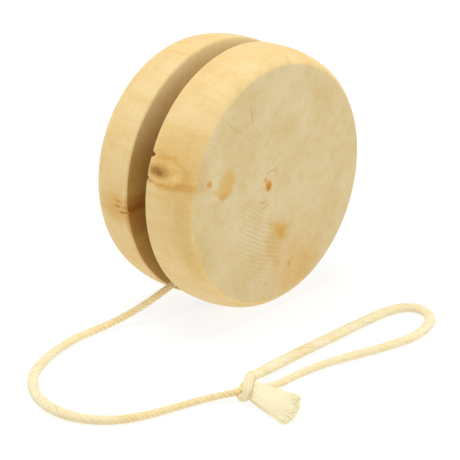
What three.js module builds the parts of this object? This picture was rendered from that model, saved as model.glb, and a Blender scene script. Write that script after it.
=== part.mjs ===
// A wooden yo-yo standing on its rims, with its cotton string wound in the groove, led out over
// the floor, and tied in a slip loop for the finger.
//
// Frame: millimetres, +Z up. +Y runs along the axle, from the front half to the rear half, and the
// origin is on the floor under the middle of the axle.

import * as THREE from 'three';

// Driving dimensions.
const RIM_RADIUS = 27.5;
const STRING_GAP = 5.2; // width of the groove between the two halves
const HALF_THICKNESS = 10.9; // one half, from its groove wall to its flat face
const FACE_RADIUS = 24.4; // flat round face
const ROUNDOVER_DEPTH = 8.4; // how far the rim's rounding runs along the axle
const EDGE_BREAK = 0.4; // sanded edge at the groove
const AXLE_RADIUS = 4;
const AXLE_SEAT = 8; // length of dowel glued into each half
const FIT_GAP = 0.3; // clearance between neighbouring pieces
const STRING_RADIUS = 0.9;
const WINDING_RADIUS = 15; // outer radius of the wound string
const WINDING_WIDTH = 4.6;
const WINDING_CROWN = 0.8; // rounded shoulder of the winding

// Roundness of the faceted pieces.
const RIM_SEGMENTS = 96;
const AXLE_SEGMENTS = 32;
const ROUNDOVER_STEPS = 8;
const STRING_SIDES = 8;
const KNOT_SEGMENTS = 16;
const STRING_STEP = 2.5 * 2 * STRING_RADIUS; // length of one straight piece of the string

// Worked-out places. The yo-yo rests on a flat facet of each rim.
const HALF_GAP = STRING_GAP / 2;
const OUTER_FACE = HALF_GAP + HALF_THICKNESS;
const AXLE_HEIGHT = RIM_RADIUS * Math.cos(Math.PI / RIM_SEGMENTS);

// The string from the winding to the knot: a tangent down to the groove's mouth, then a loose
// bend over the floor. The floor stretch is a hair over one string radius high.
const RUN_POINTS = [
  [3.5, 0, 11.6],
  [-7.5, 0, 9.1],
  [-18.6, 0.2, 6.6],
  [-22.4, 1.5, 4.6],
  [-26.3, 3.1, 2.7],
  [-30, 4.3, 1.5],
  [-34.5, 5, 1],
  [-39.5, 5.1, 0.95],
  [-45.2, 4, 0.95],
  [-50.4, 2.2, 0.95],
  [-54.8, -0.3, 0.95],
  [-58.1, -3.8, 0.95],
  [-60.4, -8.1, 0.95],
  [-61.4, -12.7, 0.95],
  [-61.1, -17, 0.95],
  [-59.5, -21, 0.95],
  [-56.6, -24.4, 0.95],
  [-52.4, -27, 0.95],
  [-46.4, -29, 0.95],
  [-41.2, -30.5, 0.95],
  [-38, -31.9, 1.1],
  [-35.1, -34.2, 1.7],
];

// The finger loop: out of the knot as its lower leg, round the far bend, and back as its upper
// leg, which climbs onto the knot.
const LOOP_POINTS = [
  [-31.2, -36.2, 1.7],
  [-28.6, -36.8, 1.3],
  [-25.5, -37, 1],
  [-20.5, -37.1, 0.95],
  [-14.5, -37.9, 0.95],
  [-8.7, -39.4, 0.95],
  [-3.2, -41.1, 0.95],
  [2.3, -42.6, 0.95],
  [7.3, -43.3, 0.95],
  [12, -42.7, 0.95],
  [15.8, -41, 0.95],
  [18, -38.3, 0.95],
  [18, -35.5, 0.95],
  [16, -33.4, 0.95],
  [12.4, -32.3, 0.95],
  [5, -31.8, 0.95],
  [-4, -31.6, 0.95],
  [-11.1, -31.4, 0.95],
  [-17.5, -31.4, 1],
  [-22.5, -31.9, 1.4],
  [-26.6, -32.8, 2.1],
  [-29.2, -33.8, 2.9],
  [-31.2, -34.6, 3.5],
];

// The knot is a hitch round the string, and its frayed tail lies beside the loop.
const KNOT_CENTRE = new THREE.Vector3(-33.3, -35.5, 2.3);
const KNOT_RADIUS = 1.8;
const KNOT_HALF_HEIGHT = 2.2;
const TUFT_ROOT = new THREE.Vector3(-32.8, -37.7, 1.5);
const TUFT_TIP = new THREE.Vector3(-33.4, -46.6, 2.1);
const TUFT_ROOT_RADIUS = 1;
const TUFT_TIP_RADIUS = 2;
const TUFT_SPREAD = 1.6; // how much wider than tall the tail is
const TUFT_SEGMENTS = 12;

function pieceMaterial(color, roughness) {
  return new THREE.MeshStandardMaterial({ color, roughness, metalness: 0 });
}

function pine() {
  return pieceMaterial(0xe6cb98, 0.6);
}

function beech() {
  return pieceMaterial(0xd8b67c, 0.55);
}

function cotton() {
  return pieceMaterial(0xefe3bd, 0.95);
}

function addPiece(name, geometry, material) {
  const mesh = new THREE.Mesh(geometry, material);
  mesh.name = name;
  yoyo.add(mesh);
  return mesh;
}

// A solid turned about the axle, whose profile is a list of [radius, place along the axle]. A
// facet, not an edge, faces straight down.
function turned(profile, segments) {
  const points = profile.map(([radius, along]) => new THREE.Vector2(radius, along));
  return new THREE.LatheGeometry(points, segments, Math.PI / segments);
}

// From the blind bore for the dowel, over the groove wall and the rounded rim, to the flat face.
function halfProfile() {
  const boreRadius = AXLE_RADIUS + FIT_GAP;
  const boreBottom = HALF_GAP + AXLE_SEAT + FIT_GAP;
  const profile = [
    [0, boreBottom],
    [boreRadius, boreBottom],
    [boreRadius, HALF_GAP],
    [RIM_RADIUS - EDGE_BREAK, HALF_GAP],
    [RIM_RADIUS, HALF_GAP + EDGE_BREAK],
  ];
  for (let step = 0; step <= ROUNDOVER_STEPS; step += 1) {
    const angle = (step / ROUNDOVER_STEPS) * (Math.PI / 2);
    profile.push([
      FACE_RADIUS + (RIM_RADIUS - FACE_RADIUS) * Math.cos(angle),
      OUTER_FACE - ROUNDOVER_DEPTH * (1 - Math.sin(angle)),
    ]);
  }
  profile.push([0, OUTER_FACE]);
  return profile;
}

function addHalves() {
  const rear = addPiece('rear_half', turned(halfProfile(), RIM_SEGMENTS), pine());
  rear.position.z = AXLE_HEIGHT;
  const front = addPiece('front_half', turned(halfProfile(), RIM_SEGMENTS), pine());
  front.position.z = AXLE_HEIGHT;
  front.rotation.z = Math.PI;
}

function addAxle() {
  const reach = HALF_GAP + AXLE_SEAT;
  const profile = [[0, -reach], [AXLE_RADIUS, -reach], [AXLE_RADIUS, reach], [0, reach]];
  const dowel = addPiece('axle_dowel', turned(profile, AXLE_SEGMENTS), beech());
  dowel.position.z = AXLE_HEIGHT;
}

// The wound string, as one ring that turns freely on the dowel.
function addWinding() {
  const bore = AXLE_RADIUS + FIT_GAP;
  const side = WINDING_WIDTH / 2;
  const shoulder = WINDING_RADIUS - WINDING_CROWN;
  const profile = [
    [bore, -side],
    [shoulder, -side],
    [WINDING_RADIUS, -side + WINDING_CROWN],
    [WINDING_RADIUS, side - WINDING_CROWN],
    [shoulder, side],
    [bore, side],
    [bore, -side],
  ];
  const ring = addPiece('string_winding', turned(profile, AXLE_SEGMENTS), cotton());
  ring.position.z = AXLE_HEIGHT;
}

// A stretch of string: an eight-sided section carried along a smooth route.
function addStringStretch(name, routePoints) {
  const corners = [];
  for (let side = 0; side < STRING_SIDES; side += 1) {
    const angle = (side / STRING_SIDES) * 2 * Math.PI;
    corners.push(new THREE.Vector2(STRING_RADIUS * Math.cos(angle), STRING_RADIUS * Math.sin(angle)));
  }
  const route = new THREE.CatmullRomCurve3(routePoints.map((point) => new THREE.Vector3(...point)));
  const steps = Math.ceil(route.getLength() / STRING_STEP);
  const options = { steps, bevelEnabled: false, extrudePath: route };
  addPiece(name, new THREE.ExtrudeGeometry(new THREE.Shape(corners), options), cotton());
}

function addKnot() {
  const profile = [];
  const steps = KNOT_SEGMENTS / 2;
  for (let step = 0; step <= steps; step += 1) {
    const angle = (step / steps - 0.5) * Math.PI;
    const onAxis = step === 0 || step === steps;
    profile.push([onAxis ? 0 : KNOT_RADIUS * Math.cos(angle), KNOT_HALF_HEIGHT * Math.sin(angle)]);
  }
  const knot = addPiece('loop_knot', turned(profile, KNOT_SEGMENTS), cotton());
  knot.rotation.x = Math.PI / 2;
  knot.position.copy(KNOT_CENTRE);
}

// The frayed tail: a cone that widens from the knot, flattened where it lies.
function addTail() {
  const along = TUFT_TIP.clone().sub(TUFT_ROOT);
  const cone = new THREE.CylinderGeometry(TUFT_TIP_RADIUS, TUFT_ROOT_RADIUS, along.length(), TUFT_SEGMENTS);
  cone.scale(TUFT_SPREAD, 1, 1);
  const across = new THREE.Vector3(0, 0, 1).cross(along).normalize().negate();
  const direction = along.clone().normalize();
  const up = across.clone().cross(direction);
  const tail = addPiece('tail_tuft', cone, cotton());
  tail.setRotationFromMatrix(new THREE.Matrix4().makeBasis(across, direction, up));
  tail.position.copy(TUFT_ROOT).add(TUFT_TIP).multiplyScalar(0.5);
}

const yoyo = new THREE.Group();
addHalves();
addAxle();
addWinding();
addStringStretch('string_run', RUN_POINTS);
addStringStretch('finger_loop', LOOP_POINTS);
addKnot();
addTail();

export default yoyo;
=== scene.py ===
import math

import bmesh
import bpy
import numpy as np
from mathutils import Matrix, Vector


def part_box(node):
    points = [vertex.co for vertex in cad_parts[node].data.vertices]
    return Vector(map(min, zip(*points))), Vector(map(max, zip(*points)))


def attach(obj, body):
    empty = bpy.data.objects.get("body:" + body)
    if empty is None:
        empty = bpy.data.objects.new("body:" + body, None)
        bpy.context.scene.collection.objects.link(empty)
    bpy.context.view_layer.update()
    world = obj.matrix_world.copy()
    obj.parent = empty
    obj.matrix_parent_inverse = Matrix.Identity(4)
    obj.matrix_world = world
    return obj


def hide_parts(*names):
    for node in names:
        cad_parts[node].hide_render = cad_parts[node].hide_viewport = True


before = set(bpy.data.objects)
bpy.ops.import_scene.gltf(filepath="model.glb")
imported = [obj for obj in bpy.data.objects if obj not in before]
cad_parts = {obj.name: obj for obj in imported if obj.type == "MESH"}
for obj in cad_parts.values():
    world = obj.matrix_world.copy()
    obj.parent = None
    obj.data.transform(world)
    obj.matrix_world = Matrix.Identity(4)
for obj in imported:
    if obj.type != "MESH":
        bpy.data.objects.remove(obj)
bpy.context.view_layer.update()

# A plain wooden yo-yo and its cotton string. +Y runs along the axle, from the front half to the
# rear half, +Z is up, and the floor is at 0. Lengths are metres, except where a comment says
# millimetres: the materials work in those, from the middle of the axle.
MM_PER_METRE = 1000

# The halves, from the frame and from the outline sizes that a box doesn't hold.
front_low, front_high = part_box("front_half")
RIM_RADIUS = (front_high.x - front_low.x) / 2
AXLE_HEIGHT = (front_high.z + front_low.z) / 2
HALF_GAP = -front_high.y
OUTER_FACE = -front_low.y
FACE_RADIUS = 0.0244
ROUNDOVER_DEPTH = 0.0084
EDGE_BREAK = 0.0005
AXLE_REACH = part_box("axle_dowel")[1].y  # from the groove's middle to the dowel's end
AXLE_RADIUS = 0.004
DOWEL_CHAMFER = 0.0004
GLUE_LINE = 0.00005

STRING_RADIUS = 0.0009
PLIES = 4

# The winding: turns side by side in layers, wound on from the axle outwards.
WINDING_LAYERS = 6
TURNS_IN_LAYER = 2
POINTS_IN_TURN = 16
LAYER_STEP = 2 * STRING_RADIUS
AXLE_SLACK = 0.0001
FIRST_LAYER = AXLE_RADIUS + STRING_RADIUS + AXLE_SLACK
TURN_PLACE = 0.00135  # a turn's distance from the groove's middle
CROSSING = 1.25  # above 1, a turn keeps to its side for longer and crosses over more quickly
CLIMB_SHARE = 0.2  # the last part of each layer, over which the string climbs onto it
UNEVEN_RADIUS = 0.00015  # slow waves, out of step with the turns, of this size
UNEVEN_PLACE = 0.0002
RADIUS_WAVE = 5.3
PLACE_WAVE = 8.1
LEAVING_ANGLE = math.pi - 0.22  # where the run leaves the winding as a tangent
LEAVING_RADIUS = 0.0162

# The route that part.mjs gives the string, in metres.
RUN_POINTS = [
    (0.0035, 0, 0.0116),
    (-0.0075, 0, 0.0091),
    (-0.0186, 0.0002, 0.0066),
    (-0.0224, 0.0015, 0.0046),
    (-0.0263, 0.0031, 0.0027),
    (-0.03, 0.0043, 0.0015),
    (-0.0345, 0.005, 0.001),
    (-0.0395, 0.0051, 0.00095),
    (-0.0452, 0.004, 0.00095),
    (-0.0504, 0.0022, 0.00095),
    (-0.0548, -0.0003, 0.00095),
    (-0.0581, -0.0038, 0.00095),
    (-0.0604, -0.0081, 0.00095),
    (-0.0614, -0.0127, 0.00095),
    (-0.0611, -0.017, 0.00095),
    (-0.0595, -0.021, 0.00095),
    (-0.0566, -0.0244, 0.00095),
    (-0.0524, -0.027, 0.00095),
    (-0.0464, -0.029, 0.00095),
    (-0.0412, -0.0305, 0.00095),
    (-0.038, -0.0319, 0.0011),
    (-0.0351, -0.0342, 0.0017),
]
KNOT_POINT = (-0.0332, -0.0353, 0.002)
LOOP_POINTS = [
    (-0.0312, -0.0362, 0.0017),
    (-0.0286, -0.0368, 0.0013),
    (-0.0255, -0.037, 0.001),
    (-0.0205, -0.0371, 0.00095),
    (-0.0145, -0.0379, 0.00095),
    (-0.0087, -0.0394, 0.00095),
    (-0.0032, -0.0411, 0.00095),
    (0.0023, -0.0426, 0.00095),
    (0.0073, -0.0433, 0.00095),
    (0.012, -0.0427, 0.00095),
    (0.0158, -0.041, 0.00095),
    (0.018, -0.0383, 0.00095),
    (0.018, -0.0355, 0.00095),
    (0.016, -0.0334, 0.00095),
    (0.0124, -0.0323, 0.00095),
    (0.005, -0.0318, 0.00095),
    (-0.004, -0.0316, 0.00095),
    (-0.0111, -0.0314, 0.00095),
    (-0.0175, -0.0314, 0.001),
    (-0.0225, -0.0319, 0.0014),
    (-0.0266, -0.0328, 0.0021),
    (-0.0292, -0.0338, 0.0029),
    (-0.0312, -0.0346, 0.0035),
]

# How the string tightens and loosens over the stretch that shows: (share of that stretch, radius
# and length of one full twist in millimetres, depth of the grooves between the plies as a share of
# the radius, height as a share of width).
STRING_PROFILE = [
    (0.0, 0.76, 3.6, 0.06, 1.0),
    (0.1, 0.75, 3.2, 0.06, 1.0),
    (0.17, 0.76, 3.4, 0.22, 1.0),
    (0.23, 0.84, 6.0, 0.09, 0.92),
    (0.3, 0.94, 9.0, 0.05, 0.85),
    (0.37, 1.0, 9.0, 0.04, 0.8),
    (0.42, 0.86, 4.0, 0.1, 0.92),
    (0.47, 0.72, 3.4, 0.22, 1.0),
    (0.51, 0.68, 3.6, 0.22, 1.0),
    (0.53, 0.7, 5.0, 0.14, 1.0),
    (0.6, 0.78, 7.0, 0.07, 0.92),
    (0.68, 0.9, 9.0, 0.06, 0.88),
    (0.74, 1.0, 12.0, 0.04, 0.82),
    (0.8, 1.04, 14.0, 0.03, 0.78),
    (0.88, 1.1, 16.0, 0.03, 0.72),
    (0.96, 1.12, 16.0, 0.03, 0.72),
    (1.0, 0.9, 10.0, 0.06, 0.9),
]
WOUND_TWIST = 0.0045
WOUND_GROOVE = 0.16
LOOSE_GROOVE = 0.04  # grooves this shallow count as wholly loose string, for its colour
TIGHT_GROOVE = 0.15  # and this deep as wholly tight
CROWN_POWER = 0.7  # below 1, the plies are full and the grooves between them narrow
STRING_SIDES = 28
WOUND_SPACING = 0.00045
SHOWN_SPACING = 0.00018

# The hitch that closes the loop: on from the upper leg, over the string, down its near side,
# under it, up behind, and out over the lower leg.
HITCH_POINTS = [
    (-0.0296, -0.03385, 0.0031),
    (-0.0312, -0.0345, 0.0037),
    (-0.0325, -0.0352, 0.0038),
    (-0.0336, -0.036, 0.0035),
    (-0.0345, -0.0366, 0.0027),
    (-0.035, -0.0366, 0.0017),
    (-0.0349, -0.0358, 0.0011),
    (-0.0343, -0.0347, 0.0009),
    (-0.0335, -0.034, 0.0012),
    (-0.0327, -0.0338, 0.0019),
    (-0.0321, -0.0344, 0.0026),
    (-0.0318, -0.0355, 0.0029),
    (-0.0319, -0.0367, 0.0027),
    (-0.0322, -0.0376, 0.0024),
]
HITCH_RADII = [(0, 0.0009), (0.15, 0.001), (0.35, 0.00095), (0.5, 0.0008), (0.8, 0.0006), (1, 0.0009)]
HITCH_TWIST = 0.016
HITCH_GROOVE = 0.05
HITCH_SIDES = 24
HITCH_SPACING = 0.00015

# The frayed tail: a flat brush that widens and thins towards its tip. Widths and depths are halves.
TUFT_ROOT = np.array((-0.0331, -0.0362, 0.0022))
TUFT_TIP = np.array((-0.0337, -0.0471, 0.0021))
TUFT_WIDE = np.array((0.72, 0.1, 0.69))  # the brush lies tilted: its wide way slopes up towards +X
TUFT_ROOT_WIDTH = 0.0016
TUFT_TIP_WIDTH = 0.0029
TUFT_ROOT_DEPTH = 0.0009
TUFT_TIP_DEPTH = 0.0001
TUFT_BULGE = 0.0003
TUFT_ROUNDING = 0.1  # how much further the middle reaches than the sides, as a share
TUFT_EASE = 0.8  # the power that rounds its widening and its bulge
CORE_COLUMNS = 96
CORE_INSET = 0.96
CORE_RIDGES = [(9, 1.0), (17, 0.0)]  # (number round the core, phase)
CORE_RIDGE_DEPTH = 0.015
CORE_RINGS = [(share, 1.0) for share in np.linspace(0, 0.9, 16)]  # (share of the length, size)
CORE_RINGS += [(0.93, 0.97), (0.95, 0.9), (0.96, 0.7)]
CORE_CLEARANCE = 0.0002  # over the floor
TUFT_STRANDS = 1800
STRAND_POINTS = 8
STRAND_HALF_WIDTHS = (0.00004, 0.0001)
STRAND_FLATNESS = 0.3
STRAND_TAPER = 0.6  # how much of its width a strand loses by its tip
STRAND_ENDS = (0.93, 1.09)
STRAND_DRIFT = 0.08
STRAND_CLEARANCE = 0.00015
OUTER_REACH = (0.94, 1.0)  # half the strands lie in the brush's skin
OUTER_STARTS = (0, 0.6)
INNER_START = 0.8  # and half fill its end
SPLAY = 0.00013  # how far the strands' tips part
SPLAY_START = 0.6
TIP_FADE = 0.004  # the last stretch, painted paler as light shining through the thinning fibres


# ---------------------------------------------------------------- meshes and curves


def add_mesh(name, points, faces, material, smooth=True):
    """A mesh object from points and faces."""
    mesh = bpy.data.meshes.new(name)
    mesh.from_pydata([tuple(map(float, point)) for point in points], [], faces)
    mesh.validate()
    shape = bmesh.new()
    shape.from_mesh(mesh)
    bmesh.ops.recalc_face_normals(shape, faces=shape.faces)
    shape.to_mesh(mesh)
    shape.free()
    mesh.polygons.foreach_set("use_smooth", [smooth] * len(mesh.polygons))
    mesh.materials.append(material)
    piece = bpy.data.objects.new(name, mesh)
    bpy.context.scene.collection.objects.link(piece)
    return piece


def grid_faces(rows, columns):
    """Quads between the rows of a grid whose columns close on themselves."""
    faces = []
    for row in range(rows - 1):
        for column in range(columns):
            here = row * columns + column
            following = row * columns + (column + 1) % columns
            faces.append((here, following, following + columns, here + columns))
    return faces


def ease(share):
    """Goes from 0 to 1 as share does, level at both ends."""
    return share**2 * (3 - 2 * share)


def hump(distance):
    """1 at 0, easing to 0 at 1 and beyond, on both sides."""
    return ease(np.clip(1 - np.abs(distance), 0, 1))


FINE_STEPS = 24  # between two of a route's points, before they are evened out


def smooth_route(points, spacing):
    """Evenly spaced points on the centripetal Catmull-Rom curve through the given points."""
    knots = [np.array(point, float) for point in points]
    knots = [2 * knots[0] - knots[1], *knots, 2 * knots[-1] - knots[-2]]
    share = np.linspace(0, 1, FINE_STEPS, endpoint=False)[:, None]
    fine = []
    for before, start, end, after in zip(knots, knots[1:], knots[2:], knots[3:]):
        gap_before = math.sqrt(np.linalg.norm(start - before))
        gap = math.sqrt(np.linalg.norm(end - start))
        gap_after = math.sqrt(np.linalg.norm(after - end))
        speed = (end - start) / gap
        speed_before = (start - before) / gap_before - (end - before) / (gap_before + gap)
        speed_after = (after - end) / gap_after - (after - start) / (gap + gap_after)
        leave = (speed_before + speed) * gap
        arrive = (speed + speed_after) * gap
        square = -3 * start + 3 * end - 2 * leave - arrive
        cube = 2 * start - 2 * end + leave + arrive
        fine.append(start + leave * share + square * share**2 + cube * share**3)
    line = np.concatenate([*fine, [knots[-2]]])
    along = distances_along(line)
    places = np.linspace(0, along[-1], round(along[-1] / spacing) + 1)
    return np.stack([np.interp(places, along, line[:, axis]) for axis in range(3)], axis=1)


def steps_between(path):
    """The distance of each point from the one before, starting with 0."""
    return np.concatenate([[0], np.linalg.norm(np.diff(path, axis=0), axis=1)])


def distances_along(path):
    return np.cumsum(steps_between(path))


def path_length(path):
    return float(distances_along(path)[-1])


def unit_rows(vectors):
    """The vectors, each made one long; a vector of no length stays near 0."""
    return vectors / np.maximum(np.linalg.norm(vectors, axis=1), 1e-9)[:, None]


def moving_frames(path):
    """The path's tangents, and a pair of cross directions carried along it without twist."""
    tangents = unit_rows(np.gradient(path, axis=0))
    side = np.cross(tangents[0], (0, 1, 0))
    sides = []
    for tangent in tangents:
        side = side - tangent * (side @ tangent)
        side = side / np.linalg.norm(side)
        sides.append(side)
    sides = np.array(sides)
    return tangents, sides, np.cross(tangents, sides)


def flattened(rings, tangents, flat):
    """The rings pressed down: height falls to flat times width, and the area stays the same."""
    up = unit_rows(np.array((0, 0, 1.0)) - tangents * tangents[:, 2:3])
    across = np.cross(tangents, up)
    widen = 1 / np.sqrt(flat)
    height = np.einsum("ijk,ik->ij", rings, up)
    width = np.einsum("ijk,ik->ij", rings, across)
    lowered = height * (flat * widen - 1)[:, None]
    widened = width * (widen - 1)[:, None]
    return rings + up[:, None, :] * lowered[:, :, None] + across[:, None, :] * widened[:, :, None]


def tube_faces(rows, columns):
    """A grid's faces, with a fan to one more point at each end: the start's, then the end's."""
    faces = grid_faces(rows, columns)
    start = rows * columns
    last_ring = start - columns
    for column in range(columns):
        following = (column + 1) % columns
        faces.append((start, following, column))
        faces.append((start + 1, last_ring + column, last_ring + following))
    return faces


def add_field(piece, name, kind, key, values):
    """Stores a value for each point of a tube. The two end points repeat the first and the last."""
    values = np.concatenate([values, values[:1], values[-1:]]).astype(np.float32)
    field = piece.data.attributes.new(name, kind, "POINT")
    field.data.foreach_set(key, values.ravel())


def plied_tube(name, path, radius, twist, groove, flat, columns, material):
    """String as one closed skin: plies that wind round the path, with grooves between them.

    radius, twist (the length of one full twist), groove (depth as a share of the radius) and flat
    (height as a share of width) each hold one value for each point of the path.
    """
    tangents, first, second = moving_frames(path)
    turned = np.cumsum(2 * math.pi * steps_between(path) / twist)
    turn = np.linspace(0, 2 * math.pi, columns, endpoint=False)
    angle = turn[None, :] + turned[:, None]
    crown = np.abs(np.cos(PLIES / 2 * turn)) ** CROWN_POWER
    reach = radius[:, None] * (1 - groove[:, None] * (1 - crown))
    rings = first[:, None, :] * (reach * np.cos(angle))[:, :, None]
    rings = rings + second[:, None, :] * (reach * np.sin(angle))[:, :, None]
    rings = flattened(rings, tangents, flat)
    points = (path[:, None, :] + rings).reshape(-1, 3)
    points = np.concatenate([points, path[:1], path[-1:]])
    piece = add_mesh(name, points, tube_faces(len(path), columns), material)

    rows = len(path)
    along = np.repeat(distances_along(path), columns)
    strand = np.stack([np.tile(turn, rows), along, np.tile(crown, rows)], axis=1)
    add_field(piece, "strand", "FLOAT_VECTOR", "vector", strand)
    tightness = np.clip((groove - LOOSE_GROOVE) / (TIGHT_GROOVE - LOOSE_GROOVE), 0, 1)
    add_field(piece, "tightness", "FLOAT", "value", np.repeat(tightness, columns))
    return piece


# ---------------------------------------------------------------- materials


class Graph:
    """Short calls for the nodes of one material."""

    def __init__(self, name):
        self.material = bpy.data.materials.new(name)
        self.material.use_nodes = True
        self.tree = self.material.node_tree
        self.shader = self.tree.nodes["Principled BSDF"]

    def node(self, kind, inputs=(), **settings):
        made = self.tree.nodes.new(kind)
        for key, value in settings.items():
            setattr(made, key, value)
        for key, value in dict(inputs).items():
            self.put(made.inputs[key], value)
        return made

    def put(self, socket, value):
        if isinstance(value, bpy.types.NodeSocket):
            self.tree.links.new(value, socket)
        else:
            socket.default_value = value

    def math(self, operation, first, second=0.0):
        return self.node("ShaderNodeMath", {0: first, 1: second}, operation=operation).outputs[0]

    def weighted_sum(self, parts):
        """Adds up values, each times its weight."""
        terms = [self.math("MULTIPLY", value, weight) for value, weight in parts]
        total = terms[0]
        for term in terms[1:]:
            total = self.math("ADD", total, term)
        return total

    def vector(self, operation, first, second=(0, 0, 0)):
        made = self.node("ShaderNodeVectorMath", {0: first, 1: second}, operation=operation)
        return made.outputs["Value" if operation == "LENGTH" else "Vector"]

    def scaled(self, place, scale):
        """A place times a scale of its own for each axis."""
        return self.vector("MULTIPLY", place, scale)

    def coordinates(self, kind="Object"):
        return self.node("ShaderNodeTexCoord").outputs[kind]

    def axes(self, place):
        return self.node("ShaderNodeSeparateXYZ", {0: place}).outputs

    def noise(self, place, scale, detail=3.0, distortion=0.0):
        inputs = {"Vector": place, "Scale": scale, "Detail": detail, "Distortion": distortion}
        return self.node("ShaderNodeTexNoise", inputs).outputs["Fac"]

    def span(self, value, low, high, out_low=0.0, out_high=1.0):
        """Eases from out_low to out_high as value goes from low to high."""
        inputs = {0: value, 1: low, 2: high, 3: out_low, 4: out_high}
        return self.node("ShaderNodeMapRange", inputs, interpolation_type="SMOOTHSTEP").outputs[0]

    def mix(self, share, first, second, blend="MIX"):
        inputs = {0: share, 6: first, 7: second}
        return self.node("ShaderNodeMix", inputs, data_type="RGBA", blend_type=blend).outputs[2]

    def tint(self, share, colour, by):
        """Multiplies a colour by another, as far as share goes."""
        return self.mix(share, colour, by, blend="MULTIPLY")

    def figure(self, colour, pattern, low, high, share, by, where=None):
        """Tints by a pattern: not at all where it is below low, and by share above high."""
        amount = self.span(pattern, low, high, 0, share)
        if where is not None:
            amount = self.math("MULTIPLY", amount, where)
        return self.tint(amount, colour, by)

    def bump(self, height, distance):
        inputs = {"Height": height, "Distance": distance, "Strength": 1.0}
        return self.node("ShaderNodeBump", inputs).outputs[0]

    def set(self, name, value):
        """Sets or links one of the shader's own inputs."""
        self.put(self.shader.inputs[name], value)

    def finish(self, colour, roughness, normal):
        self.set("Base Color", colour)
        self.set("Roughness", roughness)
        self.set("Normal", normal)
        return self.material


def millimetres(graph):
    """The piece's own coordinates, in millimetres from the middle of the axle."""
    centred = graph.vector("SUBTRACT", graph.coordinates(), (0, 0, AXLE_HEIGHT))
    return graph.scaled(centred, (MM_PER_METRE, MM_PER_METRE, MM_PER_METRE))


def spot(graph, place, centre, half_size, turn, softness):
    """1 inside an ellipsoid, turned about the axle's direction, and 0 outside it."""
    offset = graph.vector("SUBTRACT", place, centre)
    inputs = {"Vector": offset, "Angle": math.radians(turn)}
    turned = graph.node("ShaderNodeVectorRotate", inputs, rotation_type="Y_AXIS").outputs[0]
    distance = graph.vector("LENGTH", graph.vector("DIVIDE", turned, half_size))
    return graph.span(distance, 1 - softness, 1 + softness, 1.0, 0.0)


# Pale pine, as linear colours.
PINE_PALE = (0.8, 0.615, 0.31, 1)
PINE_DEEP = (0.76, 0.552, 0.242, 1)

# What multiplies it where the grain is cut across, and on a groove wall the painted light high up and
# the painted shade low down.
END_GRAIN = (0.85, 0.92, 1.08, 1)
WALL_PAINTED_LIGHT = (1.15, 1.25, 1.5, 1)
WALL_PAINTED_SHADE = (0.68, 0.56, 0.33, 1)
TORN_WOOD = (0.84, 0.7, 0.46, 1)

# The figure in the wood: where its noise starts to show and shows in full, its share, its tint.
STREAKS = (0.42, 0.75, 0.6, (0.95, 0.87, 0.7, 1))
FIBRES = (0.48, 0.72, 0.35, (0.93, 0.83, 0.68, 1))
LATHE_MARKS = (0.45, 0.7, 0.25, (0.95, 0.88, 0.76, 1))
PORES = (0.48, 0.7, 0.45, (0.9, 0.84, 0.72, 1))
SPECKLES = (0.5, 0.7, 0.35, (0.94, 0.88, 0.76, 1))
RAYS = (0.5, 0.7, 0.25, (0.95, 0.9, 0.8, 1))
RIPPLE_SHARE = 0.32
PINE_BUMP = 0.00006

# What the marks multiply it by.
DOT_BROWN = (0.82, 0.66, 0.42, 1)
KNOT_BROWN = (0.6, 0.44, 0.27, 1)
KNOT_CORE = (0.7, 0.58, 0.42, 1)
AMBER = (0.91, 0.79, 0.55, 1)
OLIVE = (0.87, 0.8, 0.57, 1)
GOLDEN = (0.97, 0.79, 0.45, 1)
RESIN = (0.9, 0.53, 0.13, 1)
RUST = (0.66, 0.47, 0.28, 1)
CHESTNUT = (0.74, 0.53, 0.26, 1)
ROSE = (1.0, 0.92, 0.84, 1)
PALE = (1.07, 1.12, 1.22, 1)
HAIRLINE = (0.72, 0.6, 0.48, 1)


# How deep in the wood a mark counts, in millimetres.
RIM_MARK_DEPTH = 6.0
FACE_MARK_DEPTH = 3.0
WALL_MARK_DEPTH = 0.6
MARK_FRAY = (1.3, 1.3, 1.3)  # how far its edge strays along each axis


def rim_mark(angle, along, half_across, half_along, softness, share, tint):
    """A mark on a rim: angle in degrees from the top towards +X, along the axle in millimetres."""
    turn = math.radians(angle)
    radius = RIM_RADIUS * MM_PER_METRE
    centre = (radius * math.sin(turn), along, radius * math.cos(turn))
    return centre, (half_across, half_along, RIM_MARK_DEPTH), -angle, softness, share, tint


def face_mark(side, x, z, half_x, half_z, turn, softness, share, tint):
    """A mark on a face, in millimetres from the middle of the axle."""
    centre = (x, side * OUTER_FACE * MM_PER_METRE, z)
    return centre, (half_x, FACE_MARK_DEPTH, half_z), turn, softness, share, tint


def wall_mark(side, x, z, half_x, half_z, softness, share, tint):
    """A mark on a groove wall, in millimetres from the middle of the axle."""
    centre = (x, side * HALF_GAP * MM_PER_METRE, z)
    return centre, (half_x, WALL_MARK_DEPTH, half_z), 0, softness, share, tint


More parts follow.
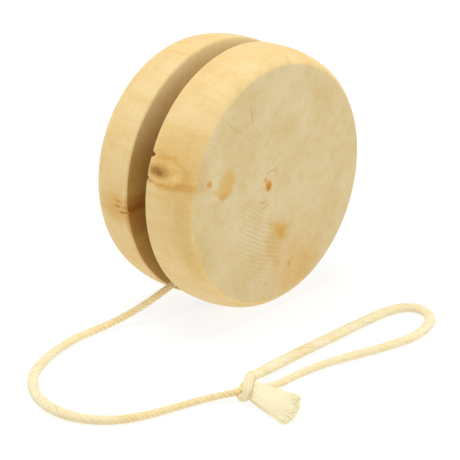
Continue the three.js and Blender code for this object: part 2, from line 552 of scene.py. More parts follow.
FRONT_MARKS = [
    # The branch knot: amber wood round it, its pale tear-drop, the dark heart, the band below.
    rim_mark(-66.0, -9.5, 6.0, 6.0, 0.6, 0.6, AMBER),
    rim_mark(-67.0, -5.0, 1.0, 3.4, 0.6, 0.5, AMBER),
    rim_mark(-72.8, -7.5, 3.4, 5.0, 0.14, 0.75, AMBER),
    rim_mark(-72.7, -7.0, 2.6, 4.2, 0.1, 1.0, PALE),
    rim_mark(-74.1, -10.9, 0.9, 2.3, 0.2, 1.0, PALE),
    rim_mark(-73.0, -5.4, 1.4, 2.6, 0.5, 0.8, KNOT_BROWN),
    rim_mark(-73.0, -5.1, 0.7, 1.2, 0.5, 0.8, KNOT_CORE),
    rim_mark(-73.8, -5.9, 0.4, 0.7, 0.5, 0.7, KNOT_CORE),
    rim_mark(-77.8, -3.5, 0.35, 0.9, 0.5, 0.6, KNOT_BROWN),
    rim_mark(-78.4, -4.8, 0.5, 2.6, 0.6, 0.65, AMBER),
    rim_mark(-78.4, -8.4, 0.55, 2.8, 0.6, 0.65, AMBER),
    rim_mark(-76.8, -12.0, 0.9, 2.4, 0.6, 0.7, AMBER),
    rim_mark(-72.8, -13.2, 3.0, 1.6, 0.6, 0.5, AMBER),
    rim_mark(-81.5, -11.0, 3.4, 3.8, 0.7, 0.45, AMBER),
    rim_mark(-94.0, -12.5, 8.0, 2.6, 0.6, 0.5, OLIVE),
    rim_mark(-112.0, -12.3, 5.0, 1.6, 0.6, 0.4, OLIVE),
    # The pith and the wood torn close round it.
    face_mark(-1, -3.4, 0.7, 0.9, 1.15, -12, 0.3, 1.0, RESIN),
    face_mark(-1, -3.4, 0.3, 0.5, 0.6, 0, 0.6, 0.6, DOT_BROWN),
    face_mark(-1, -4.3, 2.1, 0.4, 0.5, 0, 0.4, 0.85, RESIN),
    face_mark(-1, -2.6, 3.8, 1.3, 0.18, 8, 0.5, 0.8, DOT_BROWN),
    face_mark(-1, -1.1, 3.2, 0.6, 0.18, 35, 0.5, 0.7, DOT_BROWN),
    face_mark(-1, -5.4, -2.3, 1.1, 0.17, -20, 0.5, 0.8, DOT_BROWN),
    face_mark(-1, -4.2, -3.4, 1.1, 0.16, 15, 0.5, 0.7, DOT_BROWN),
    # Resin stains on the left, the smudge below the pith, and the small dots.
    face_mark(-1, -15.7, 4.3, 2.0, 2.7, -15, 0.35, 0.8, GOLDEN),
    face_mark(-1, -15.4, 3.6, 1.2, 1.8, -20, 0.6, 0.55, GOLDEN),
    face_mark(-1, -14.8, 6.8, 1.1, 1.2, 0, 0.6, 0.4, GOLDEN),
    face_mark(-1, -13.5, 4.7, 0.9, 0.8, 0, 0.6, 0.45, GOLDEN),
    face_mark(-1, -17.9, 2.8, 0.65, 2.1, 50, 0.35, 0.75, GOLDEN),
    face_mark(-1, -16.5, 1.9, 1.1, 0.8, 30, 0.45, 0.6, AMBER),
    face_mark(-1, -20.4, 5.7, 0.7, 0.75, 0, 0.35, 0.75, RESIN),
    face_mark(-1, 0.4, -10.3, 1.9, 2.5, 51, 0.6, 0.8, GOLDEN),
    face_mark(-1, 0.6, -10.5, 0.9, 1.2, 51, 0.6, 0.4, AMBER),
    face_mark(-1, -1.2, -9.0, 0.9, 2.4, 46, 0.6, 0.55, GOLDEN),
    face_mark(-1, 2.4, -9.6, 0.9, 2.0, -68, 0.6, 0.45, GOLDEN),
    face_mark(-1, -2.2, -13.4, 1.6, 3.2, 20, 0.6, 0.45, GOLDEN),
    face_mark(-1, 3.0, -17.0, 10.0, 7.0, 25, 0.8, 0.25, GOLDEN),
    face_mark(-1, 4.6, -18.0, 6.5, 4.8, 25, 0.3, 0.85, ROSE),
    face_mark(-1, 6.5, -20.3, 6.5, 3.2, 25, 0.6, 0.5, GOLDEN),
    face_mark(-1, 3.2, -18.2, 0.6, 0.5, 0, 0.5, 0.8, DOT_BROWN),
    face_mark(-1, 3.9, -17.5, 1.1, 0.25, 20, 0.5, 0.6, AMBER),
    face_mark(-1, 3.1, -19.6, 0.2, 0.9, 0, 0.5, 0.4, AMBER),
    face_mark(-1, -4.2, -20.9, 0.6, 0.22, 0, 0.5, 0.5, HAIRLINE),
    # A painted highlight: a pale strip down the left edge of the face.
    face_mark(-1, -24.0, -2.0, 1.2, 8.0, 0, 0.5, 0.4, PALE),
    # Drying checks.
    face_mark(-1, -8.45, 17.0, 0.11, 2.6, 8, 0.5, 0.5, HAIRLINE),
    face_mark(-1, -7.8, 9.6, 0.09, 5.0, 3.5, 0.5, 0.22, HAIRLINE),
    face_mark(-1, -13.6, 15.5, 0.12, 3.0, 51, 0.5, 0.5, HAIRLINE),
    face_mark(-1, -8.9, 11.8, 0.09, 3.1, 52, 0.5, 0.3, HAIRLINE),
]
REAR_MARKS = [
    # The cracked knot at the groove, with the dark wood behind it on the groove wall.
    rim_mark(-95.0, 5.4, 3.2, 4.2, 0.6, 0.85, AMBER),
    rim_mark(-91.9, 4.9, 0.5, 1.2, 0.5, 0.6, GOLDEN),
    rim_mark(-91.2, 5.0, 0.16, 1.1, 0.5, 0.5, RUST),
    rim_mark(-93.8, 5.4, 0.22, 1.0, 0.5, 0.55, RUST),
    rim_mark(-93.4, 3.6, 0.4, 0.6, 0.5, 0.6, RUST),
    rim_mark(-95.8, 3.9, 0.3, 1.1, 0.5, 0.75, RUST),
    # A broad amber tint that darkens the lower left of the rim.
    rim_mark(-120, 8.5, 14, 7, 0.7, 0.3, AMBER),
    wall_mark(1, -25.0, -1.2, 7.0, 1.6, 0.5, 0.6, CHESTNUT),
    wall_mark(1, -25.0, -2.0, 7.0, 0.6, 0.3, 0.5, CHESTNUT),
    wall_mark(1, -25.0, -5.2, 7.0, 3.0, 0.3, 0.45, CHESTNUT),
    # Its own face: a shallow resin streak, a pin knot and two drying checks.
    face_mark(1, 11.0, -7.5, 1.1, 3.6, 35, 0.4, 0.8, GOLDEN),
    face_mark(1, -9.6, 12.2, 0.9, 1.2, 20, 0.4, 0.85, KNOT_BROWN),
    face_mark(1, -9.6, 12.2, 2.0, 2.8, 20, 0.5, 0.7, AMBER),
    face_mark(1, 3.1, -4.2, 0.8, 1.0, 0, 0.35, 0.95, RESIN),
    face_mark(1, 12.0, 13.0, 0.11, 4.0, -42, 0.5, 0.5, HAIRLINE),
    face_mark(1, -4.0, -17.0, 0.1, 3.4, 17, 0.5, 0.5, HAIRLINE),
]

# The saw left fine ripples on part of each face, in millimetres from the middle of the axle: the
# place the arcs bend round, then the patch's centre, half size and turn in degrees.
FRONT_RIPPLES = ((12.5, 30.0), (-6.2, -11.0), (5.0, 9.0), 28)
REAR_RIPPLES = ((-14.0, -31.0), (6.0, 12.0), (4.5, 8.5), 24)
RIPPLE_STEP = 0.93
RIPPLE_FRAY = 0.2  # how far a ripple's colour strays from its place
PATCH_FADE = 1.5  # the patch fades out at this many times its half size

# Ripples wander: (size, wave along the other axis, phase), in millimetres and radians.
RIPPLE_SWAY = [(0.25, 0.3, 0.8), (0.07, 1.4, 2.1)]


def ripple_phase(x, z, middle):
    """How far through its ripple a place is, from 0 to 1."""
    bent_x = x + sum(size * np.sin(wave * z + phase) for size, wave, phase in RIPPLE_SWAY)
    bent_z = z + sum(size * np.sin(wave * x + phase + 1) for size, wave, phase in RIPPLE_SWAY)
    return np.hypot(bent_x - middle[0], bent_z - middle[1]) / RIPPLE_STEP % 1


def ripple_patch(x, z, centre, half_size, turn):
    """1 in the middle of the rippled patch, easing to 0 round it."""
    slant = math.radians(turn)
    across = (x - centre[0]) * math.cos(slant) + (z - centre[1]) * math.sin(slant)
    along = (z - centre[1]) * math.cos(slant) - (x - centre[0]) * math.sin(slant)
    return hump(np.hypot(across / half_size[0], along / half_size[1]) / PATCH_FADE)


def ripple_nodes(graph, place, middle):
    """ripple_phase() as nodes, with a fine raggedness of its own."""
    x, _, z = graph.axes(place)
    bent = []
    for value, other, centre, extra in ((x, z, middle[0], 0), (z, x, middle[1], 1)):
        value = graph.math("SUBTRACT", value, centre)
        for size, wave, phase in RIPPLE_SWAY:
            angle = graph.math("ADD", graph.math("MULTIPLY", other, wave), phase + extra)
            sway = graph.math("MULTIPLY", graph.math("SINE", angle), size)
            value = graph.math("ADD", value, sway)
        bent.append(value)
    flat = graph.node("ShaderNodeCombineXYZ", {0: bent[0], 1: bent[1], 2: 0.0}).outputs[0]
    fray = graph.math("MULTIPLY", graph.noise(place, scale=2.2, detail=2.0), RIPPLE_FRAY)
    distance = graph.math("ADD", graph.vector("LENGTH", flat), fray)
    return graph.math("FRACT", graph.math("DIVIDE", distance, RIPPLE_STEP))


def torn_ripples(graph, place, side, ripples):
    """How far the saw has torn the wood: it rises through each ripple and ends sharply."""
    middle, patch, patch_size, patch_turn = ripples
    phase = ripple_nodes(graph, place, middle)
    rising = graph.span(phase, 0.3, 0.85)
    falling = graph.span(phase, 0.88, 1.0, 1.0, 0.0)
    torn = graph.math("MULTIPLY", rising, falling)
    centre = (patch[0], side * OUTER_FACE * MM_PER_METRE, patch[1])
    reach = (patch_size[0], FACE_MARK_DEPTH, patch_size[1])
    patch_share = spot(graph, place, centre, reach, patch_turn, softness=0.6)
    return graph.math("MULTIPLY", torn, graph.math("MULTIPLY", patch_share, RIPPLE_SHARE))


def cut_regions(graph, along):
    """Where the grain is cut across on a face, and where on a groove wall, which lies within 7 mm."""
    facing = graph.math("ABSOLUTE", graph.axes(graph.coordinates("Normal"))[1])
    end_on = graph.span(facing, 0.86, 0.985)
    outside = graph.span(graph.math("ABSOLUTE", along), 7.0, 8.0)
    inside = graph.math("SUBTRACT", 1.0, outside)
    return graph.math("MULTIPLY", end_on, outside), graph.math("MULTIPLY", end_on, inside)


def ray_noise(graph, place):
    """Streaks that run out from the axle: noise that changes far more round it than outwards."""
    direction = graph.vector("NORMALIZE", graph.scaled(place, (1, 0, 1)))
    round_axle = graph.scaled(direction, (14, 14, 14))
    outwards = graph.scaled(place, (0.12, 0.12, 0.12))
    return graph.noise(graph.vector("ADD", round_axle, outwards), scale=1.6)


def add_marks(graph, place, colour, marks):
    """Tints the colour with each mark, all of them a little ragged at the edge."""
    fray = graph.node("ShaderNodeTexNoise", {"Vector": place, "Scale": 0.9, "Detail": 4.0})
    wander = graph.vector("SUBTRACT", fray.outputs["Color"], (0.5, 0.5, 0.5))
    ragged = graph.vector("ADD", place, graph.scaled(wander, MARK_FRAY))
    for centre, half_size, turn, softness, share, tint in marks:
        inside = spot(graph, ragged, centre, half_size, turn, softness)
        colour = graph.tint(graph.math("MULTIPLY", inside, share), colour, tint)
    return colour


def pine(name, side, ripples, marks):
    """Turned pine: a rippled patch on the face, long grain on the rims, and its own marks."""
    graph = Graph(name)
    place = millimetres(graph)
    _, along, height = graph.axes(place)
    end_grain, groove_wall = cut_regions(graph, along)
    torn = torn_ripples(graph, place, side, ripples)

    # Fibres and streaks drawn out along the axle, and the rings that a lathe tool leaves.
    drawn = graph.scaled(place, (1, 0.05, 1))
    fibre = graph.noise(drawn, scale=3.0, detail=4.0, distortion=0.3)
    streak = graph.noise(drawn, scale=0.5)
    lathe = graph.noise(graph.scaled(place, (0.03, 1.6, 0.03)), scale=1.0, detail=4.0)
    pores = graph.noise(place, scale=6.0, detail=2.0)
    speckle = graph.noise(place, scale=2.3)
    blotch = graph.noise(place, scale=0.13)

    colour = graph.mix(graph.span(blotch, 0.3, 0.75), PINE_PALE, PINE_DEEP)
    colour = graph.figure(colour, streak, *STREAKS)
    colour = graph.tint(end_grain, colour, END_GRAIN)
    # Painted light high on the groove wall, easing into painted shade lower down.
    wall_light_and_shade = graph.mix(graph.span(height, 4, 26, 1.0, 0.0), WALL_PAINTED_LIGHT, WALL_PAINTED_SHADE)
    colour = graph.tint(groove_wall, colour, wall_light_and_shade)
    colour = graph.tint(torn, colour, TORN_WOOD)
    colour = graph.figure(colour, fibre, *FIBRES)
    colour = graph.figure(colour, lathe, *LATHE_MARKS)
    colour = graph.figure(colour, pores, *PORES)
    colour = graph.figure(colour, speckle, *SPECKLES)
    colour = graph.figure(colour, ray_noise(graph, place), *RAYS, where=end_grain)
    colour = add_marks(graph, place, colour, marks)

    relief = graph.weighted_sum([(torn, 2.0), (fibre, 0.7), (pores, 0.4), (lathe, 0.6)])
    graph.set("Specular IOR Level", 0.25)
    roughness = graph.span(fibre, 0.3, 0.7, 0.55, 0.7)
    return graph.finish(colour, roughness, graph.bump(relief, PINE_BUMP))


# Undyed cotton, as linear colours.
COTTON_LOOSE = (0.87, 0.78, 0.52, 1)
COTTON_TIGHT = (0.95, 0.8, 0.46, 1)
TAIL_PALE = (0.93, 0.83, 0.57, 1)
TAIL_DEEP = (0.91, 0.79, 0.51, 1)
# Painted light on the thin tips of the tuft.
TAIL_TIPS_PAINTED_LIGHT = (1.0, 0.94, 0.64, 1)

# What multiplies it in the grooves between the plies, a painted shade, and its figure, as for the
# wood.
PLY_GROOVE_SHADE = (0.86, 0.64, 0.36, 1)
COTTON_PATCHES = (0.4, 0.7, 0.6, (0.96, 0.88, 0.7, 1))
COTTON_FIBRES = (0.45, 0.68, 0.75, (0.91, 0.82, 0.62, 1))
TAIL_FIBRES = (0.45, 0.75, 0.3, (0.96, 0.9, 0.76, 1))


def cotton(name):
    """Cotton string: pale crowns, painted shade in the grooves, and fibres that run with the plies."""
    graph = Graph(name)
    strand = graph.node("ShaderNodeAttribute", attribute_name="strand").outputs["Vector"]
    tight = graph.node("ShaderNodeAttribute", attribute_name="tightness").outputs["Fac"]
    around, along, crown = graph.axes(strand)
    sine, cosine = graph.math("SINE", around), graph.math("COSINE", around)
    drawn = graph.math("MULTIPLY", along, 110)
    unrolled = graph.node("ShaderNodeCombineXYZ", {0: sine, 1: cosine, 2: drawn}).outputs[0]
    fibre = graph.noise(unrolled, scale=5.0, detail=4.0, distortion=0.5)
    patch = graph.noise(graph.coordinates(), scale=260.0)

    colour = graph.mix(tight, COTTON_LOOSE, COTTON_TIGHT)
    colour = graph.figure(colour, patch, *COTTON_PATCHES)
    # Painted shade in the grooves between the plies, stronger where the string is tight.
    groove = graph.span(crown, 0.0, 0.75, 1.0, 0.0)
    painted_groove_shade = graph.math("MULTIPLY", groove, graph.span(tight, 0, 1, 0.15, 0.9))
    colour = graph.tint(painted_groove_shade, colour, PLY_GROOVE_SHADE)
    colour = graph.figure(colour, fibre, *COTTON_FIBRES)
    graph.set("Sheen Weight", 0.25)
    graph.set("Sheen Roughness", 0.6)
    graph.set("Specular IOR Level", 0.1)
    return graph.finish(colour, graph.span(fibre, 0.3, 0.7, 0.85, 0.97), graph.bump(fibre, 0.00012))


def loose_cotton(name):
    """Combed-out fibres, a little paler than the string, and palest at the tips by painted light."""
    graph = Graph(name)
    place = graph.coordinates()
    drawn = graph.scaled(place, (1, 0.12, 1))
    fibre = graph.noise(drawn, scale=5200.0, distortion=0.4)
    patch = graph.noise(drawn, scale=900.0, detail=2.0)
    colour = graph.mix(graph.span(patch, 0.35, 0.7), TAIL_PALE, TAIL_DEEP)
    colour = graph.figure(colour, fibre, *TAIL_FIBRES)
    # Painted light: the last stretch towards the tips is paled.
    fading = graph.span(graph.axes(place)[1], TUFT_TIP[1], TUFT_TIP[1] + TIP_FADE, 0.95, 0.0)
    colour = graph.mix(fading, colour, TAIL_TIPS_PAINTED_LIGHT)
    graph.set("Sheen Weight", 0.3)
    graph.set("Specular IOR Level", 0.1)
    return graph.finish(colour, graph.span(fibre, 0.3, 0.7, 0.85, 0.97), graph.bump(fibre, 0.00006))


def beech(name):
    """The dowel: a browner wood, its fibres along the axle."""
    graph = Graph(name)
    drawn = graph.scaled(millimetres(graph), (1, 0.06, 1))
    fibre = graph.noise(drawn, scale=4.0, detail=4.0, distortion=0.4)
    colour = graph.mix(graph.span(fibre, 0.3, 0.7), (0.72, 0.52, 0.28, 1), (0.62, 0.42, 0.2, 1))
    graph.set("Specular IOR Level", 0.3)
    return graph.finish(colour, graph.span(fibre, 0.3, 0.7, 0.45, 0.6), graph.bump(fibre, 0.00005))


def floor_white(name):
    """A pale glowing table: its glow makes up for the lamps' falling off away from the middle."""
    graph = Graph(name)
    place = graph.coordinates()
    grain = graph.noise(place, scale=900.0, detail=2.0)
    colour = graph.mix(grain, (0.18, 0.18, 0.18, 1), (0.19, 0.19, 0.19, 1))
    glow = graph.span(graph.vector("LENGTH", place), 0.2, 1.0, 0.83, 0.94)
    graph.set("Emission Strength", glow)
    graph.set("Emission Color", (1, 1, 1, 1))
    graph.set("Specular IOR Level", 0.1)
    return graph.finish(colour, graph.span(grain, 0.3, 0.7, 0.85, 0.95), graph.bump(grain, 0.00001))


# ---------------------------------------------------------------- camera


CAMERA_AZIMUTH = math.radians(-46.6)
CAMERA_ELEVATION = math.radians(22.4)
CAMERA_DISTANCE = 0.3074
CAMERA_SHIFT_RIGHT = -0.0003
CAMERA_SHIFT_UP = -0.0126
CAMERA_LENS = 115.5


def add_camera():
    """The camera looks at the middle of the axle, then is shifted to frame the string as well."""
    level = math.cos(CAMERA_ELEVATION)
    back = Vector(
        (
            math.sin(CAMERA_AZIMUTH) * level,
            -math.cos(CAMERA_AZIMUTH) * level,
            math.sin(CAMERA_ELEVATION),
        )
    )
    right = Vector((0, 0, 1)).cross(back).normalized()
    up = back.cross(right)
    data = bpy.data.cameras.new("camera")
    data.lens = CAMERA_LENS
    data.clip_start = 0.01
    camera = bpy.data.objects.new("camera", data)
    bpy.context.scene.collection.objects.link(camera)
    shift = right * CAMERA_SHIFT_RIGHT + up * CAMERA_SHIFT_UP
    camera.location = Vector((0, 0, AXLE_HEIGHT)) + back * CAMERA_DISTANCE + shift
    camera.rotation_mode = "QUATERNION"
    camera.rotation_quaternion = (-back).to_track_quat("-Z", "Y")
    bpy.context.scene.camera = camera


# ---------------------------------------------------------------- the string


def winding_points():
    """Turns round the axle, layer on layer, that end where the run leaves."""
    turns = WINDING_LAYERS * TURNS_IN_LAYER
    start_angle = LEAVING_ANGLE - turns * 2 * math.pi
    points = []
    for number in range(turns * POINTS_IN_TURN):
        turn = number / POINTS_IN_TURN
        layer = turn / TURNS_IN_LAYER
        last_layer = int(layer) == WINDING_LAYERS - 1
        climb = max(0.0, (layer % 1 - (1 - CLIMB_SHARE)) / CLIMB_SHARE)
        radius = FIRST_LAYER + int(layer) * LAYER_STEP
        next_radius = LEAVING_RADIUS if last_layer else radius + LAYER_STEP
        radius += ease(climb) * (next_radius - radius)
        swing = max(-1.0, min(1.0, -CROSSING * math.cos(math.pi * layer)))
        place = TURN_PLACE * swing**3
        if last_layer:
            place *= 1 - climb
        radius += UNEVEN_RADIUS * math.sin(RADIUS_WAVE * turn + 1.0)
        place += UNEVEN_PLACE * math.sin(PLACE_WAVE * turn)
        angle = start_angle + turn * 2 * math.pi
        points.append((radius * math.sin(angle), place, AXLE_HEIGHT + radius * math.cos(angle)))
    return points


def string_route():
    """The wound path, and the path that shows, which carries on from its end."""
    wound = winding_points()
    lead_in = wound[-3:]
    shown = smooth_route([*lead_in, *RUN_POINTS, KNOT_POINT, *LOOP_POINTS], SHOWN_SPACING)
    already_wound = round(path_length(smooth_route(lead_in, SHOWN_SPACING)) / SHOWN_SPACING)
    return smooth_route(wound, WOUND_SPACING)[:-1], shown[already_wound:]


def make_string(material):
    wound, shown = string_route()
    path = np.concatenate([wound, shown])
    shares, radii, twists, grooves, heights = np.array(STRING_PROFILE).T

    def along_string(wound_value, shown_values):
        """One value for every point: steady on the winding, eased between the table's shares."""
        eased = np.interp(np.linspace(0, 1, len(shown)), shares, shown_values)
        return np.concatenate([np.full(len(wound), wound_value), eased])

    radius = along_string(STRING_RADIUS, radii / MM_PER_METRE)
    twist = along_string(WOUND_TWIST, twists / MM_PER_METRE)
    groove = along_string(WOUND_GROOVE, grooves)
    flat = along_string(1, heights)
    string = plied_tube("string", path, radius, twist, groove, flat, STRING_SIDES, material)
    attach(string, "string")
    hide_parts("string_winding", "string_run", "finger_loop")
    return string, path


def make_knot(material):
    path = smooth_route(HITCH_POINTS, HITCH_SPACING)
    count = len(path)
    radius = np.interp(np.linspace(0, 1, count), *zip(*HITCH_RADII))
    twist = np.full(count, HITCH_TWIST)
    groove = np.full(count, HITCH_GROOVE)
    knot = plied_tube("hitch", path, radius, twist, groove, np.ones(count), HITCH_SIDES, material)
    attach(knot, "string")
    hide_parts("loop_knot")
    return knot


def tuft_axes():
    """Unit vectors along the brush, over its width, and through its thickness."""
    direction = (TUFT_TIP - TUFT_ROOT) / np.linalg.norm(TUFT_TIP - TUFT_ROOT)
    wide = TUFT_WIDE - direction * (TUFT_WIDE @ direction)
    wide /= np.linalg.norm(wide)
    return direction, wide, np.cross(direction, wide)


def tuft_place(share, across, through):
    """Places in the brush: share of its length, and -1 to 1 over its width and its thickness."""
    _, wide, thick = tuft_axes()
    half_width = TUFT_ROOT_WIDTH + share**TUFT_EASE * (TUFT_TIP_WIDTH - TUFT_ROOT_WIDTH)
    half_depth = TUFT_ROOT_DEPTH + share * (TUFT_TIP_DEPTH - TUFT_ROOT_DEPTH)
    half_depth = half_depth + TUFT_BULGE * np.sin(math.pi * np.clip(share, 0, 1)) ** TUFT_EASE
    rounded = share * (1 - TUFT_ROUNDING * across**2)
    middle = TUFT_ROOT + (TUFT_TIP - TUFT_ROOT) * rounded[:, None]
    return middle + wide * (across * half_width)[:, None] + thick * (through * half_depth)[:, None]


def above_floor(points, clearance):
    """Lifts the points that would lie lower than a clearance over the floor."""
    return np.maximum(points, (-np.inf, -np.inf, clearance))


def tuft_core():
    """Points and faces of the soft middle, ridged lengthwise and closed at both ends."""
    turn = np.linspace(0, 2 * math.pi, CORE_COLUMNS, endpoint=False)
    waves = sum(np.sin(count * turn + phase) for count, phase in CORE_RIDGES)
    ridges = CORE_INSET + CORE_RIDGE_DEPTH * waves
    points = []
    for share, size in CORE_RINGS:
        inset = ridges * size
        ring = tuft_place(np.full(CORE_COLUMNS, share), inset * np.cos(turn), inset * np.sin(turn))
        points += list(above_floor(ring, CORE_CLEARANCE))
    faces = grid_faces(len(CORE_RINGS), CORE_COLUMNS)
    faces.append(tuple(range(CORE_COLUMNS))[::-1])
    faces.append(tuple(range(len(points) - CORE_COLUMNS, len(points))))
    return points, faces


def draw_strand(draw, inner):
    """The line and half width of one strand, drawn at random."""
    reach = math.sqrt(draw.random()) if inner else draw.uniform(*OUTER_REACH)
    angle = draw.random() * 2 * math.pi
    end = draw.uniform(*STRAND_ENDS)
    start = INNER_START if inner else draw.uniform(*OUTER_STARTS)
    drift = draw.normal(0, STRAND_DRIFT)
    splay = draw.normal(0, SPLAY, 3)
    half_width = draw.uniform(*STRAND_HALF_WIDTHS)
    share = np.linspace(0, 1, STRAND_POINTS)
    places = start + share * (end - start)
    angles = angle + drift * share
    parting = np.clip(places - SPLAY_START, 0, 1) / (1 - SPLAY_START)
    line = tuft_place(places, reach * np.cos(angles), reach * np.sin(angles))
    return above_floor(line + splay * parting[:, None] ** 2, STRAND_CLEARANCE), half_width


def add_strand(points, faces, line, half_width):
    """One fine flattened strand along a line, thinner towards its tip and closed at both ends."""
    _, wide, thick = tuft_axes()
    first = len(points)
    for ring, centre in enumerate(line):
        size = half_width * (1 - STRAND_TAPER * ring / (len(line) - 1))
        side, top = wide * size, thick * size * STRAND_FLATNESS
        points += [centre + side, centre + top, centre - side, centre - top]
    faces += [tuple(first + index for index in face) for face in grid_faces(len(line), 4)]
    last = len(points) - 4
    faces.append((first + 3, first + 2, first + 1, first))
    faces.append((last, last + 1, last + 2, last + 3))


def make_tuft(material):
    """The frayed end: a soft core, and many fine strands that fan out over it."""
    draw = np.random.default_rng(7)
    points, faces = tuft_core()
    for number in range(TUFT_STRANDS):
        line, half_width = draw_strand(draw, inner=number % 2 == 0)
        add_strand(points, faces, line, half_width)
    tuft = add_mesh("frayed_end", points, faces, material, smooth=False)
    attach(tuft, "string")
    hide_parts("tail_tuft")
    return tuft


# ---------------------------------------------------------------- the wooden pieces


DISC_COLUMNS = 380
WALL_ROWS = 44
EDGE_ROWS = 5
LAND_ROWS = 10
ROUNDOVER_ROWS = 36
FACE_ROWS = 95
RIPPLE_RELIEF = 0.000017
RIPPLE_CREST = 0.87  # where in each ripple the face is sunk deepest
RIM_SKIN = 0.004  # how far in from the rim a cut reaches
RIM_WAVE_DEPTH = 0.00002
FACE_MARGIN = 0.001  # how far past the face's edge its hollows would fade out

# What stands in or out of a rim: (angle from the top towards +X in degrees, distance from the
# groove's middle, half width in degrees, half length, depth).
FRONT_NICKS = [
    (-67.2, 0.0026, 1.5, 0.0013, 0.0012),
    (-77.0, 0.0026, 1.0, 0.0009, 0.0005),
    (-72.5, 0.0045, 3.6, 0.003, -0.00022),  # a swelling, so its depth is below 0
    (-74.1, 0.0058, 0.5, 0.0008, 0.00012),
    (112.0, 0.0091, 1.2, 0.0011, 0.00012),
]
REAR_NICKS = [
    (-93.7, 0.0052, 1.0, 0.001, 0.0003),
    (-95.8, 0.0032, 0.6, 0.0013, 0.0004),
    (-91.3, 0.005, 0.4, 0.0012, 0.0002),
    (38.0, 0.0105, 1.0, 0.0012, 0.00012),
]

# Small hollows in a face: (x, height over the axle, half width, half height, depth).
FRONT_PITS = [(-0.0034, 0.0007, 0.0006, 0.0011, 0.00022), (-0.0204, 0.0057, 0.0007, 0.0008, 0.00012)]
REAR_PITS = [(0.0031, -0.0042, 0.0006, 0.0009, 0.0002), (-0.0096, 0.0122, 0.0011, 0.0014, 0.00012)]

# Where the rims have fine shape: (angle, reach), in degrees.
BUSY_ANGLES = [(-73, 10), (-95, 6)]
BUSY_DENSITY = 3.5
FINE_ANGLES = 7200


def half_outline():
    """(radius, distance from the groove's middle) from the blind bore round to the face."""
    bore = AXLE_RADIUS + GLUE_LINE
    bottom = AXLE_REACH + GLUE_LINE
    outline = [(0.0, bottom), (bore * 0.5, bottom), (bore, bottom), (bore, (bottom + HALF_GAP) / 2)]
    for radius in np.linspace(bore, RIM_RADIUS - EDGE_BREAK, WALL_ROWS):
        outline.append((radius, HALF_GAP))
    for turn in np.linspace(0, math.pi / 2, EDGE_ROWS + 1)[1:]:
        radius = RIM_RADIUS - EDGE_BREAK * (1 - math.sin(turn))
        outline.append((radius, HALF_GAP + EDGE_BREAK * (1 - math.cos(turn))))
    land_end = OUTER_FACE - ROUNDOVER_DEPTH
    for distance in np.linspace(HALF_GAP + EDGE_BREAK, land_end, LAND_ROWS + 1)[1:]:
        outline.append((RIM_RADIUS, distance))
    for turn in np.linspace(0, math.pi / 2, ROUNDOVER_ROWS + 1)[1:]:
        radius = FACE_RADIUS + (RIM_RADIUS - FACE_RADIUS) * math.cos(turn)
        outline.append((radius, land_end + ROUNDOVER_DEPTH * math.sin(turn)))
    for radius in np.linspace(FACE_RADIUS, 0, FACE_ROWS + 1)[1:]:
        outline.append((radius, OUTER_FACE))
    return np.array(outline)


def disc_angles():
    """Angles round the axle, closer together where the rims have fine shape."""
    fine = np.linspace(-math.pi, math.pi, FINE_ANGLES)
    density = np.ones(len(fine))
    for centre, reach in BUSY_ANGLES:
        density += BUSY_DENSITY * np.exp(-(((fine - math.radians(centre)) / math.radians(reach)) ** 2))
    filled = np.concatenate([[0], np.cumsum(density[1:])])
    places = np.linspace(0, filled[-1], DISC_COLUMNS, endpoint=False)
    return np.interp(places, filled, fine)


def rim_cut(radius, along, angles, side, nicks):
    """How deep the rim is cut: it is never quite round, by a few hundredths, and it has nicks."""
    waves = np.sin(3 * angles + 1.1) + 0.7 * np.sin(7 * angles + side) + 0.4 * np.sin(13 * angles)
    deepest = 1 + 0.7 + 0.4
    cut = RIM_WAVE_DEPTH * (waves[None, :] + deepest)
    for angle, place, half_width, half_length, depth in nicks:
        across = hump((np.degrees(angles) - angle) / half_width)[None, :]
        cut = cut + depth * across * hump((along - place) / half_length)
    return cut * hump((radius - RIM_RADIUS) / RIM_SKIN)


def face_sink(x, z, ripples, pits):
    """How far the face is sunk behind its plane, by the saw's ripples and by small hollows."""
    middle, patch, patch_size, patch_turn = ripples
    x_mm, z_mm = x * MM_PER_METRE, z * MM_PER_METRE
    phase = ripple_phase(x_mm, z_mm, middle) - RIPPLE_CREST
    sunk = RIPPLE_RELIEF * (0.5 + 0.5 * np.cos(2 * math.pi * phase))
    sunk *= ripple_patch(x_mm, z_mm, patch, patch_size, patch_turn)
    for pit_x, pit_z, half_x, half_z, depth in pits:
        sunk += depth * hump(np.hypot((x - pit_x) / half_x, (z - pit_z) / half_z))
    return sunk


def make_half(name, node, side, ripples, nicks, pits, material):
    """A half turned about the axle. side is -1 for the front half and 1 for the rear."""
    outline = half_outline()
    angles = disc_angles()
    radius = np.repeat(outline[:, :1], len(angles), axis=1)
    along = np.repeat(outline[:, 1:], len(angles), axis=1)
    radius = radius - rim_cut(radius, along, angles, side, nicks)
    x = radius * np.sin(angles)
    z = radius * np.cos(angles)
    on_face = outline[:, 1:] >= OUTER_FACE
    fading = hump(radius / (FACE_RADIUS + FACE_MARGIN)) ** 0.3
    along = along - face_sink(x, z, ripples, pits) * on_face * fading
    points = np.stack([x, side * along, AXLE_HEIGHT + z], axis=2).reshape(-1, 3)
    half = add_mesh(name, points, grid_faces(len(outline), len(angles)), material)
    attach(half, "rotor")
    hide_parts(node)


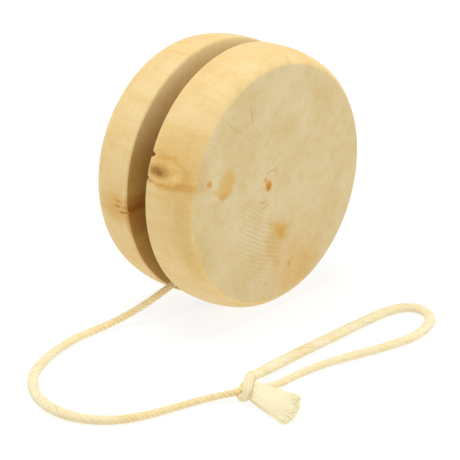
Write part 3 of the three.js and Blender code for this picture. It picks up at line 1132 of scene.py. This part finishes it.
def make_dowel(material):
    outline = [(0.0, -AXLE_REACH), (AXLE_RADIUS - DOWEL_CHAMFER, -AXLE_REACH)]
    outline.append((AXLE_RADIUS, DOWEL_CHAMFER - AXLE_REACH))
    outline += [(radius, -distance) for radius, distance in outline[::-1]]
    columns = 64
    turns = [column / columns * 2 * math.pi for column in range(columns)]
    points = [
        (radius * math.sin(turn), distance, AXLE_HEIGHT + radius * math.cos(turn))
        for radius, distance in outline
        for turn in turns
    ]
    dowel = add_mesh("dowel", points, grid_faces(len(outline), columns), material)
    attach(dowel, "rotor")
    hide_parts("axle_dowel")


# ---------------------------------------------------------------- the studio


FLOOR_FLAT = 2.5
FLOOR_SWEEP = 1.5
WORLD_STRENGTH = 0.48

# (name, place, width, power in watts) of each round lamp.
LAMPS = [("key", (-0.02, 0.12, 0.76), 0.6, 4.4), ("fill", (0.4, -0.75, 0.35), 0.6, 1.7)]
LAMP_TARGET = Vector((0, 0, 0.02))


def add_floor():
    """A wide flat floor that sweeps up far away, so that no edge shows."""
    profile = [(0.02, 0.0), (0.5, 0.0), (1.2, 0.0)]
    for turn in np.linspace(0, math.pi / 2, 13):
        radius = FLOOR_FLAT + FLOOR_SWEEP * math.sin(turn)
        profile.append((radius, FLOOR_SWEEP * (1 - math.cos(turn))))
    columns = 64
    turns = [column / columns * 2 * math.pi for column in range(columns)]
    points = [
        (radius * math.sin(turn), radius * math.cos(turn), height)
        for radius, height in profile
        for turn in turns
    ]
    faces = grid_faces(len(profile), columns)
    faces.append(tuple(range(columns)))
    add_mesh("floor", points, faces, floor_white("floor"))


def add_lamp(name, place, width, power):
    data = bpy.data.lights.new(name, "AREA")
    data.shape = "DISK"
    data.size = width
    data.energy = power
    lamp = bpy.data.objects.new(name, data)
    lamp.location = place
    lamp.rotation_mode = "QUATERNION"
    lamp.rotation_quaternion = (LAMP_TARGET - Vector(place)).to_track_quat("-Z", "Y")
    bpy.context.scene.collection.objects.link(lamp)


def add_studio():
    world = bpy.data.worlds.new("studio")
    world.use_nodes = True
    background = world.node_tree.nodes["Background"]
    background.inputs["Color"].default_value = (1, 1, 1, 1)
    background.inputs["Strength"].default_value = WORLD_STRENGTH
    bpy.context.scene.world = world
    bpy.context.scene.view_settings.view_transform = "Standard"
    for lamp in LAMPS:
        add_lamp(*lamp)
    add_floor()


add_camera()
string_cotton = cotton("cotton")
string, string_path = make_string(string_cotton)
knot = make_knot(string_cotton)
tuft = make_tuft(loose_cotton("loose_cotton"))
front_pine = pine("pine_front", -1, FRONT_RIPPLES, FRONT_MARKS)
rear_pine = pine("pine_rear", 1, REAR_RIPPLES, REAR_MARKS)
make_half("front_disc", "front_half", -1, FRONT_RIPPLES, FRONT_NICKS, FRONT_PITS, front_pine)
make_half("rear_disc", "rear_half", 1, REAR_RIPPLES, REAR_NICKS, REAR_PITS, rear_pine)
make_dowel(beech("dowel_wood"))
add_studio()
